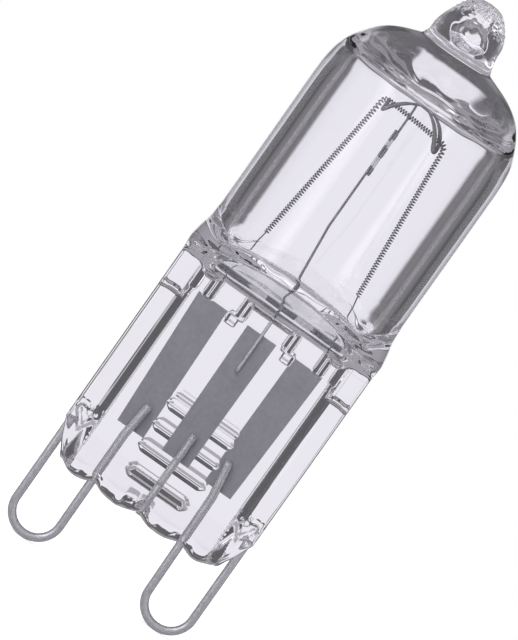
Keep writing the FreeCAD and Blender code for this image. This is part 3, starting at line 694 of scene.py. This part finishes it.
def inner_rows():
    """Rows of the gas space, from its flat floor to the closed dome."""
    turn = np.linspace(0, 2 * np.pi, INNER_COLUMNS, endpoint=False)
    across, through = np.cos(turn), np.sin(turn)
    bore = BULB - BULB_WALL
    rows = []
    for share in (0.0, 0.6, 0.9):
        rows.append(inner_row(share * GAS_HALF * across, share * GAS_DEPTH * through, GAS_FLOOR))
    for t in np.linspace(0.0, 1.0, 44):
        z = GAS_FLOOR + (NECK_TOP - GAS_FLOOR) * t ** 1.5
        rounding = math.sqrt(1 - (1 - min(1.0, (z - GAS_FLOOR) / GAS_ROUNDING)) ** 2)
        half = GAS_HALF + (bore - GAS_HALF) * rounding
        tube = bore * np.abs(through) ** (2 / (2.5 - 0.5 * t))
        over_floor = min(1.0, (z - GAS_FLOOR) / 0.3)
        slope = GAS_DEPTH + ((z - GAS_SLOPE_FOOT) * SLOPE_RISE - GAS_DEPTH) * over_floor
        depth = np.maximum(cut_by_slope(tube, slope), 0.0)
        x = half * across
        depth = depth - streak_depth(depth, x + 2, z + 0.3)
        rows.append(inner_row(x, depth * np.sign(np.round(through, 9)), z))
    straight = [(bore, z) for z in np.linspace(NECK_TOP + 1, INNER_DOME_START, 7)]
    for radius, z in straight + list(zip(*even_steps(INNER_DOME, 26))):
        radius = max(radius, 0.0)
        rows.append(inner_row(radius * across, radius * through, z))
    return rows


def bubble_rows():
    """The closed end of the filling bore, left as a bubble in the stub."""
    turn = np.linspace(0, 2 * np.pi, INNER_COLUMNS, endpoint=False)
    left, middle = BUBBLE_PLACE
    rows = []
    for rise in np.linspace(-np.pi / 2, np.pi / 2, 25):
        radius = BUBBLE_RADIUS * max(math.cos(rise), 0.0) ** 0.9
        z = middle + BUBBLE_HALF_HEIGHT * math.sin(rise)
        rows.append(inner_row(radius * np.cos(turn) + left, radius * np.sin(turn), z))
    return rows


def join_seams(mesh):
    """Joins the points that meet at seams and poles, which leaves closed shells."""
    shape = bmesh.new()
    shape.from_mesh(mesh)
    bmesh.ops.remove_doubles(shape, verts=shape.verts, dist=1e-7)
    bmesh.ops.dissolve_degenerate(shape, dist=1e-8, edges=shape.edges)
    shape.to_mesh(mesh)
    shape.free()


def glass_envelope():
    shells = [(outer_rows(), False), (inner_rows(), True), (bubble_rows(), True)]
    faces = []
    start = 0
    for rows, inward in shells:
        columns = len(rows[0])
        faces += shell_faces(len(rows), columns, start, inward)
        start += len(rows) * columns
    verts = np.concatenate([row for rows, inward in shells for row in rows])
    thing = new_object("quartz_envelope", verts, faces, QUARTZ)
    join_seams(thing.data)
    thing.data.set_sharp_from_angle(angle=math.radians(50))
    return finish_piece(thing, "quartz", "glass_envelope")


# Wires. Their full thicknesses set where they lie; most are drawn a little thinner.

FOIL = 0.05  # thickness of a sealing foil
SINK = 0.02  # how far a welded wire is pressed into what carries it
CONTACT_WIRE = 0.5
LEAD_WIRE = 0.45
SUPPORT_WIRE = 0.14
HOOK_WIRE = 0.28
TAIL_WIRE = 0.08
COIL_WIDTH = 0.33
WELD_GAP = 0.005
HOOK_GAP = 0.05  # play between the hook and the coil that hangs in it
CONTACT_RADIUS = 0.248
LEAD_RADIUS = 0.222
STEM_RADIUS = 0.068
HOOK_RADIUS = 0.12
TAIL_RADIUS = 0.038


def rounded_route(corners, radii, step=0.12):
    """Points along straight runs whose corners are rounded by arcs."""
    corners = [np.array(c, float) for c in corners]
    points = [corners[0]]
    for place, radius in enumerate(radii):
        before, corner, after = corners[place:place + 3]
        back = (before - corner) / np.linalg.norm(before - corner)
        onward = (after - corner) / np.linalg.norm(after - corner)
        swing = math.pi - math.acos(np.clip(np.dot(back, onward), -1, 1))
        reach = radius * math.tan(swing / 2)
        bisector = (back + onward) / np.linalg.norm(back + onward)
        centre = corner + bisector * radius / math.cos(swing / 2)
        first = corner + back * reach - centre
        last = corner + onward * reach - centre
        count = max(3, int(radius * swing / step))
        for t in np.linspace(0, 1, count + 1):
            arm = first * math.sin((1 - t) * swing) + last * math.sin(t * swing)
            points.append(centre + arm / math.sin(swing))
    points.append(corners[-1])
    return np.array(points)


def divided(points, step):
    """The same route with long runs cut into equal lengths."""
    result = [points[0]]
    for start, end in zip(points[:-1], points[1:]):
        count = max(1, int(np.linalg.norm(end - start) / step))
        for k in range(1, count + 1):
            result.append(start + (end - start) * k / count)
    return np.array(result)


def tube(name, points, radius, material, sides=16, ends=0.3):
    """A round wire along points, with its ends rounded over; radius may differ by point."""
    points = np.asarray(points, float)
    radii = np.broadcast_to(np.asarray(radius, float), (len(points),)).copy()
    tangents = np.gradient(points, axis=0)
    tangents /= np.linalg.norm(tangents, axis=1)[:, None]
    cap = radii[0] * ends
    points = np.concatenate([[points[0] - tangents[0] * cap], points, [points[-1] + tangents[-1] * cap]])
    tangents = np.concatenate([[tangents[0]], tangents, [tangents[-1]]])
    radii = np.concatenate([[radii[0] * 0.6], radii, [radii[-1] * 0.6]])
    side = np.cross(tangents[0], [0.0, 1.0, 0.01])
    verts, uvs = [], []
    run = 0.0
    for place, (point, tangent) in enumerate(zip(points, tangents)):
        side = side - tangent * np.dot(side, tangent)
        side /= np.linalg.norm(side)
        other = np.cross(tangent, side)
        if place:
            run += np.linalg.norm(point - points[place - 1])
        for k in range(sides):
            angle = 2 * math.pi * k / sides
            verts.append(point + radii[place] * (side * math.cos(angle) + other * math.sin(angle)))
            uvs.append((k / sides, run))
    faces = shell_faces(len(points), sides)
    first_tip, last_tip = len(verts), len(verts) + 1
    verts += [points[0], points[-1]]
    uvs += [(0.5, 0.0), (0.5, run)]
    last_row = (len(points) - 1) * sides
    for k in range(sides):
        after = (k + 1) % sides
        faces.append((first_tip, after, k))
        faces.append((last_tip, last_row + k, last_row + after))
    return new_object(name, np.array(verts), faces, material, uvs=uvs)


def before_foil(wire):
    """Where the middle of a wire lies that is welded to the front of a foil."""
    return -(FOIL + wire) / 2 + SINK


# Contact loops and the centre lead

LOOP_OUT = 5.96
LOOP_BOTTOM = -4.38
LOOP_TURN = 1.44
LOOP_END = 2.6  # where the outer leg ends, in the corner of the pinch
LEAD_BEND = 3.4  # where the inner leg turns towards its foil
LEAD_TOP = 5.55
CENTRE_LEAD = (0.13, 0.19, 5.68)  # place across, foot and top


def contact_loop(side, sign, bend, end):
    """One loop and its lead; bend and end say how far out the lead leans."""
    lift = before_foil(CONTACT_WIRE)
    corners = [
        (sign * LOOP_OUT, lift, LOOP_END),
        (sign * LOOP_OUT, lift, LOOP_BOTTOM),
        (sign * LEAD_PLACE, lift, LOOP_BOTTOM),
        (sign * bend, lift, LEAD_BEND),
        (sign * end, lift, LEAD_TOP),
    ]
    route = divided(rounded_route(corners, [LOOP_TURN, LOOP_TURN, 2.0]), 0.25)
    thing = tube(f"contact_loop_{side}_wire", route, CONTACT_RADIUS, LOOP_METAL, sides=20)
    return finish_piece(thing, "contact_wire", f"contact_loop_{side}")


def centre_lead():
    lift = before_foil(LEAD_WIRE)
    across, foot, top = CENTRE_LEAD
    points = divided(np.array([(across, lift, foot), (across, lift, top)]), 0.3)
    thing = tube("centre_lead_wire", points, LEAD_RADIUS, LOOP_METAL, sides=18, ends=0.05)
    return finish_piece(thing, "contact_wire", "centre_lead")


# Support: post, stem and hook

POST_ACROSS = -0.46
POST_FOOT = 9.9
POST_BENDS = (14.7, 19.45)
POST_TOP = 25.8
POST_HIGHLIGHTS = [(0.0, 13.7), (24.85, 25.25), (23.5, 24.05)]  # stretches given a painted highlight in the loops' lighter metal
POST_THICKENING = 0.035  # of its flattened foot in the glass
STEM_ACROSS = POST_ACROSS + SUPPORT_WIRE + WELD_GAP
STEM_AHEAD = -(COIL_WIDTH + SUPPORT_WIRE) / 2 - WELD_GAP  # passes in front of the coil
STEM_FOOT = 22.95
STEM_TOP = 27.75
STEM_THICKENING = 0.028
# stretches of the stem beside its welds, given a painted highlight
STEM_HIGHLIGHTS = [(24.78, 25.32), (23.45, 24.1)]
WELDS = [(25.5, 0.18), (24.48, 0.3), (23.2, 0.22)]  # height and half length of each weld
HOOK_LEFT = -1.75
HOOK_LEFT_ENDS = (26.75, 26.25)  # heights of its free end and of its turn to the front
HOOK_APEX = (0.22, 28.45)
HOOK_RIGHT_TURNS = [(1.88, 25.92), (2.0, 26.15)]
HOOK_END = (0.72, 28.3)


def paint_highlights(wire, stretches):
    """Paints highlights on some stretches of a wire, between two heights, by giving them the loops'
    lighter metal.
    """
    wire.data.materials.append(LOOP_METAL)
    for face in wire.data.polygons:
        if any(low * MM < face.center.z < high * MM for low, high in stretches):
            face.material_index = 1


def support_post():
    lift = before_foil(SUPPORT_WIRE)
    low_bend, high_bend = POST_BENDS
    corners = [
        (0, lift, POST_FOOT), (0, lift, low_bend),
        (POST_ACROSS, lift, high_bend), (POST_ACROSS, lift, POST_TOP),
    ]
    route = divided(rounded_route(corners, [1.5, 1.5]), 0.15)
    thickening = POST_THICKENING * smooth(-route[:, 2], -14.1, -13.6)
    route[:, 1] -= thickening
    post = tube("support_post_wire", route, SUPPORT_WIRE / 2 + thickening, SUPPORT_METAL, sides=12)
    paint_highlights(post, POST_HIGHLIGHTS)
    return finish_piece(post, "support_wire", "support_post")


def support_stem():
    lift = before_foil(SUPPORT_WIRE)
    corners = [
        (STEM_ACROSS, lift, STEM_FOOT), (STEM_ACROSS, lift, POST_TOP),
        (STEM_ACROSS, STEM_AHEAD, POST_TOP + 0.3), (STEM_ACROSS, STEM_AHEAD, STEM_TOP),
    ]
    route = divided(rounded_route(corners, [0.14, 0.14], step=0.05), 0.06)
    weld = np.zeros(len(route))
    for middle, half in WELDS:
        weld = np.maximum(weld, smooth(-np.abs(route[:, 2] - middle), -half - 0.06, -half + 0.06))
    radii = STEM_RADIUS + STEM_THICKENING * weld
    stem = tube("support_stem_wire", route, radii, SUPPORT_METAL, sides=10)
    paint_highlights(stem, STEM_HIGHLIGHTS)
    return finish_piece(stem, "support_wire", "support_stem")


def hook():
    """From behind the coil's left corner, over the stem's top, round the right corner and back."""
    clear = (COIL_WIDTH + HOOK_WIRE) / 2 + HOOK_GAP
    seat = STEM_AHEAD - (SUPPORT_WIRE + HOOK_WIRE) / 2 - WELD_GAP
    apex_across, apex_height = HOOK_APEX
    free_end, front = HOOK_LEFT_ENDS
    (turn_out, turn_low), (turn_back, turn_high) = HOOK_RIGHT_TURNS
    share = (STEM_ACROSS - HOOK_LEFT) / (apex_across - HOOK_LEFT)
    apex_lift = -clear + (seat + clear) / share
    corners = [
        (HOOK_LEFT, clear, free_end), (HOOK_LEFT, clear, front), (HOOK_LEFT, -clear, front),
        (apex_across, apex_lift, apex_height),
        (turn_out, -clear, turn_low), (turn_back, clear, turn_high),
        (HOOK_END[0], clear, HOOK_END[1]),
    ]
    turn = clear * 0.85
    route = rounded_route(corners, [turn, turn, HOOK_WIRE, turn, turn], step=0.05)
    thing = tube("filament_hook_wire", divided(route, 0.15), HOOK_RADIUS, SUPPORT_METAL, sides=14)
    return finish_piece(thing, "support_wire", "filament_hook")


# Filament

COIL_END = (3.08, 17.1)
COIL_LEFT_CORNER = (-2.03, 26.75)
COIL_RIGHT_CORNER = (2.28, 26.45)
COIL_BEND = 0.35
COIL_RADIUS = 0.131
COIL_WIRE_RADIUS = 0.032
COIL_PITCH = 0.164
STEPS_PER_TURN = 14.0
COIL_WIRE_SIDES = 7
TAIL_FOOT = 11.2
TAIL_BEND = 13.6
TAIL_MIDDLE = (3.42, 15.2)
TAIL_TOP = 17.2  # a little way up inside the coil


def helix_tree():
    """Winds a wire round a route; all its lengths are in metres."""
    tree = bpy.data.node_groups.new("wound_coil", "GeometryNodeTree")
    face = tree.interface
    face.new_socket("Geometry", in_out="INPUT", socket_type="NodeSocketGeometry")
    for name in ("Coil radius", "Wire radius", "Pitch"):
        face.new_socket(name, in_out="INPUT", socket_type="NodeSocketFloat")
    face.new_socket("Material", in_out="INPUT", socket_type="NodeSocketMaterial")
    face.new_socket("Geometry", in_out="OUTPUT", socket_type="NodeSocketGeometry")
    graph = Graph(tree)
    inside = graph.add("NodeGroupInput").outputs
    outside = graph.add("NodeGroupOutput").inputs

    # The route is cut into short steps, each of which knows how far round it has turned.
    resample = graph.add("GeometryNodeResampleCurve", mode="LENGTH")
    graph.feed(resample.inputs["Curve"], inside["Geometry"])
    graph.feed(resample.inputs["Length"], graph.maths("DIVIDE", inside["Pitch"], STEPS_PER_TURN))
    along = graph.add("GeometryNodeSplineParameter").outputs["Length"]
    turn = graph.maths("MULTIPLY", graph.maths("DIVIDE", along, inside["Pitch"]), 2 * math.pi)
    through = graph.add("ShaderNodeCombineXYZ")
    graph.feed(through.inputs["Y"], 1.0)
    tangent = graph.add("GeometryNodeInputTangent").outputs[0]
    across = graph.vectors("CROSS_PRODUCT", tangent, through.outputs[0])

    # Each step moves out from the route by the coil's radius.
    radius = inside["Coil radius"]
    first = graph.scaled(across, graph.maths("MULTIPLY", graph.maths("COSINE", turn), radius))
    second = graph.scaled(through.outputs[0], graph.maths("MULTIPLY", graph.maths("SINE", turn), radius))
    move = graph.add("GeometryNodeSetPosition")
    graph.feed(move.inputs["Geometry"], resample.outputs[0])
    graph.feed(move.inputs["Offset"], graph.vectors("ADD", first, second))

    ring = graph.add("GeometryNodeCurvePrimitiveCircle")
    graph.feed(ring.inputs["Resolution"], COIL_WIRE_SIDES)
    graph.feed(ring.inputs["Radius"], inside["Wire radius"])
    wire = graph.add("GeometryNodeCurveToMesh")
    graph.feed(wire.inputs["Fill Caps"], True)
    graph.feed(wire.inputs["Curve"], move.outputs[0])
    graph.feed(wire.inputs["Profile Curve"], ring.outputs[0])
    real = graph.add("GeometryNodeRealizeInstances")
    graph.feed(real.inputs[0], wire.outputs[0])
    paint = graph.add("GeometryNodeSetMaterial")
    graph.feed(paint.inputs["Geometry"], real.outputs[0])
    graph.feed(paint.inputs["Material"], inside["Material"])
    graph.feed(outside["Geometry"], paint.outputs[0])
    return tree


def coil_holder():
    """An object whose curve is the middle line of the coil."""
    end, foot = COIL_END
    left, left_height = COIL_LEFT_CORNER
    right, right_height = COIL_RIGHT_CORNER
    corners = [(-end, 0, foot), (left, 0, left_height), (right, 0, right_height), (end, 0, foot)]
    route = rounded_route(corners, [COIL_BEND, COIL_BEND], step=0.04)
    curve = bpy.data.curves.new("coil_route", "CURVE")
    curve.dimensions = "3D"
    spline = curve.splines.new("POLY")
    spline.points.add(len(route) - 1)
    for point, place in zip(spline.points, route):
        point.co = (*(place * MM), 1)
    holder = bpy.data.objects.new("coil_route", curve)
    bpy.context.scene.collection.objects.link(holder)
    return holder


def coil():
    """The wound stretch of the filament, as a plain mesh."""
    holder = coil_holder()
    modifier = holder.modifiers.new("wound_coil", "NODES")
    modifier.node_group = helix_tree()
    wanted = {
        "Coil radius": COIL_RADIUS * MM,
        "Wire radius": COIL_WIRE_RADIUS * MM,
        "Pitch": COIL_PITCH * MM,
        "Material": COIL_METAL,
    }
    for item in modifier.node_group.interface.items_tree:
        if item.in_out == "INPUT" and item.name in wanted:
            modifier[item.identifier] = wanted[item.name]
    depsgraph = bpy.context.evaluated_depsgraph_get()
    mesh = bpy.data.meshes.new_from_object(holder.evaluated_get(depsgraph))
    mesh.name = "filament_coil"
    mesh.polygons.foreach_set("use_smooth", [True] * len(mesh.polygons))
    bpy.data.objects.remove(holder)
    thing = bpy.data.objects.new("filament_coil", mesh)
    bpy.context.scene.collection.objects.link(thing)
    return finish_piece(thing, "filament_wire", "filament")


def filament_tail(side, sign, foot):
    """The straight end of the filament, welded to the back of a foil."""
    lift = -before_foil(TAIL_WIRE)
    corners = [
        (sign * foot, lift, TAIL_FOOT), (sign * foot, lift, TAIL_BEND),
        (sign * TAIL_MIDDLE[0], lift, TAIL_MIDDLE[1]), (sign * COIL_END[0], 0, TAIL_TOP),
    ]
    route = divided(rounded_route(corners, [2.0, 2.0]), 0.3)
    thing = tube(f"filament_tail_{side}", route, TAIL_RADIUS, COIL_METAL, sides=8)
    return finish_piece(thing, "filament_wire", "filament")


# Stage: pale floor, soft light and camera

GROUND_PLACE = -4.64  # height of the ground, just under the loops
GROUND_RADIUS = 45
GROUND_SIDES = 64
GROUND_FADE = (26, 36)  # how far behind the bulb the ground turns paler
GROUND_TONES = (0.3, 0.65)  # near and far, seen through the glass
DARKEST = 0.095  # least tone of the surroundings
SOFTBOX_PLACE = (-60, -90, 150)
SOFTBOX_SIZE = 140
SOFTBOX_POWER = 0.2
CAMERA_PITCH = 7.0  # degrees that the camera looks down
CAMERA_ROLL = 35.2  # degrees that the picture is turned
CAMERA_TARGET = (-0.62, 0, 12.9)
CAMERA_DISTANCE = 300
PICTURE_WIDTH = 35.3  # what the picture shows across, at the bulb
SENSOR_WIDTH = 36


def floor_material():
    """White to the eye; seen through the glass it is a grey that fades to pale further off."""
    material, graph, shader = new_material("pale_floor")
    place = graph.add("ShaderNodeTexCoord").outputs["Object"]
    grain = graph.tones(graph.noise(place, 600), (0.9, 0.9, 0.9), (0.94, 0.94, 0.94))
    far = graph.fade(graph.parts(place)["Y"], *metres(GROUND_FADE), *GROUND_TONES)
    through_glass = graph.mix(far, BLACK, VIOLET_WHITE)
    direct = graph.add("ShaderNodeLightPath").outputs["Is Camera Ray"]
    tone = graph.mix(direct, through_glass, WHITE)
    graph.feed(shader["Base Color"], graph.mix(1.0, tone, grain, blend="MULTIPLY"))
    graph.feed(shader["Roughness"], 0.9)
    graph.feed(shader["Emission Color"], tone)
    graph.feed(shader["Emission Strength"], 0.6)
    return material


def build_floor():
    turns = np.linspace(0, 2 * np.pi, GROUND_SIDES, endpoint=False)
    ring = [(GROUND_RADIUS * math.cos(t), GROUND_RADIUS * math.sin(t), GROUND_PLACE) for t in turns]
    floor = new_object("floor", np.array(ring), [tuple(range(GROUND_SIDES))], floor_material())


def surroundings_tone(graph):
    """Brightness of each direction round the bulb, as the glass bends it into view."""
    direction = graph.parts(graph.add("ShaderNodeTexCoord").outputs["Generated"])
    across, through, height = direction["X"], direction["Y"], direction["Z"]
    aside = graph.maths("ABSOLUTE", across)
    behind = graph.fade(through, 0.0, 0.2)
    panel = graph.chain(
        "MULTIPLY", graph.fade(across, -0.31, -0.25), graph.fade(across, 0.27, 0.21),
        graph.fade(height, 0.13, 0.05), behind,
    )
    front = graph.fade(through, 0.1, -0.3)
    sky = graph.chain(
        "MULTIPLY", graph.fade(height, 0.3, 0.4), graph.fade(height, 0.85, 0.7), behind,
    )
    ceiling = graph.fade(height, 0.78, 0.9)
    strip = graph.chain(
        "MULTIPLY", graph.fade(across, -0.8, -0.72), graph.fade(across, -0.52, -0.6),
        graph.fade(through, -0.2, -0.4),
    )
    sides = graph.maths(
        "ADD", graph.maths("MULTIPLY", graph.fade(aside, 0.6, 0.72), 0.1),
        graph.maths("MULTIPLY", graph.fade(aside, 0.88, 0.96), 0.5),
    )
    shares = [(panel, 0.76), (front, 0.5), (sky, 0.22), (strip, 2.2), (ceiling, 0.35)]
    tones = [graph.maths("MULTIPLY", share, tone) for share, tone in shares]
    return graph.maths("ADD", graph.chain("MAXIMUM", sides, *tones), DARKEST)


def build_world():
    """White surroundings; the glass sees them with dark sides, which draw its dark lines."""
    world = bpy.data.worlds.new("studio")
    bpy.context.scene.world = world
    world.use_nodes = True
    world.node_tree.nodes.clear()
    graph = Graph(world.node_tree)
    direct = graph.add("ShaderNodeLightPath").outputs["Is Camera Ray"]
    shade = graph.add("ShaderNodeBackground")
    graph.feed(shade.inputs["Color"], graph.mix(direct, VIOLET_WHITE, WHITE))
    graph.feed(shade.inputs["Strength"], graph.maths("MAXIMUM", surroundings_tone(graph), direct))
    graph.feed(graph.add("ShaderNodeOutputWorld").inputs["Surface"], shade.outputs[0])


def build_softbox():
    """One soft light above. Nothing mirrors it, and it can't be seen through the glass."""
    light = bpy.data.lights.new("overhead_softbox", "AREA")
    light.shape = "DISK"
    light.size = SOFTBOX_SIZE * MM
    light.energy = SOFTBOX_POWER
    softbox = bpy.data.objects.new("overhead_softbox", light)
    softbox.location = Vector(SOFTBOX_PLACE) * MM
    softbox.rotation_euler = (-Vector(SOFTBOX_PLACE)).to_track_quat("-Z", "Y").to_euler()
    softbox.visible_transmission = False
    softbox.visible_glossy = False
    bpy.context.scene.collection.objects.link(softbox)


def build_camera():
    pitch = math.radians(CAMERA_PITCH)
    roll = math.radians(CAMERA_ROLL)
    level = Vector((1, 0, 0))
    up = Vector((0, math.sin(pitch), math.cos(pitch)))
    back = Vector((0, -math.cos(pitch), math.sin(pitch)))
    right = level * math.cos(roll) + up * math.sin(roll)
    top = up * math.cos(roll) - level * math.sin(roll)
    data = bpy.data.cameras.new("camera")
    data.sensor_width = SENSOR_WIDTH
    data.lens = CAMERA_DISTANCE * SENSOR_WIDTH / PICTURE_WIDTH
    data.clip_start = 0.01
    data.clip_end = 10
    camera = bpy.data.objects.new("camera", data)
    turned = Matrix((right, top, back)).transposed().to_4x4()
    place = Vector(CAMERA_TARGET) * MM + back * (CAMERA_DISTANCE * MM)
    camera.matrix_world = Matrix.Translation(place) @ turned
    bpy.context.scene.collection.objects.link(camera)
    bpy.context.scene.camera = camera


glass = glass_envelope()
glass.visible_shadow = False
contact_loop("left", -1, 3.06, 2.85)
contact_loop("right", 1, 2.92, 2.56)
centre_lead()
support_post()
support_stem()
hook()
coil()
filament_tail("left", -1, 3.68)
filament_tail("right", 1, 3.62)
for name in ("foil_left", "foil_centre", "foil_right"):
    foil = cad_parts[name]
    foil.data.materials.clear()
    foil.data.materials.append(FOIL_METAL)
build_floor()
build_world()
build_softbox()
build_camera()
bpy.context.scene.view_settings.view_transform = "Standard"
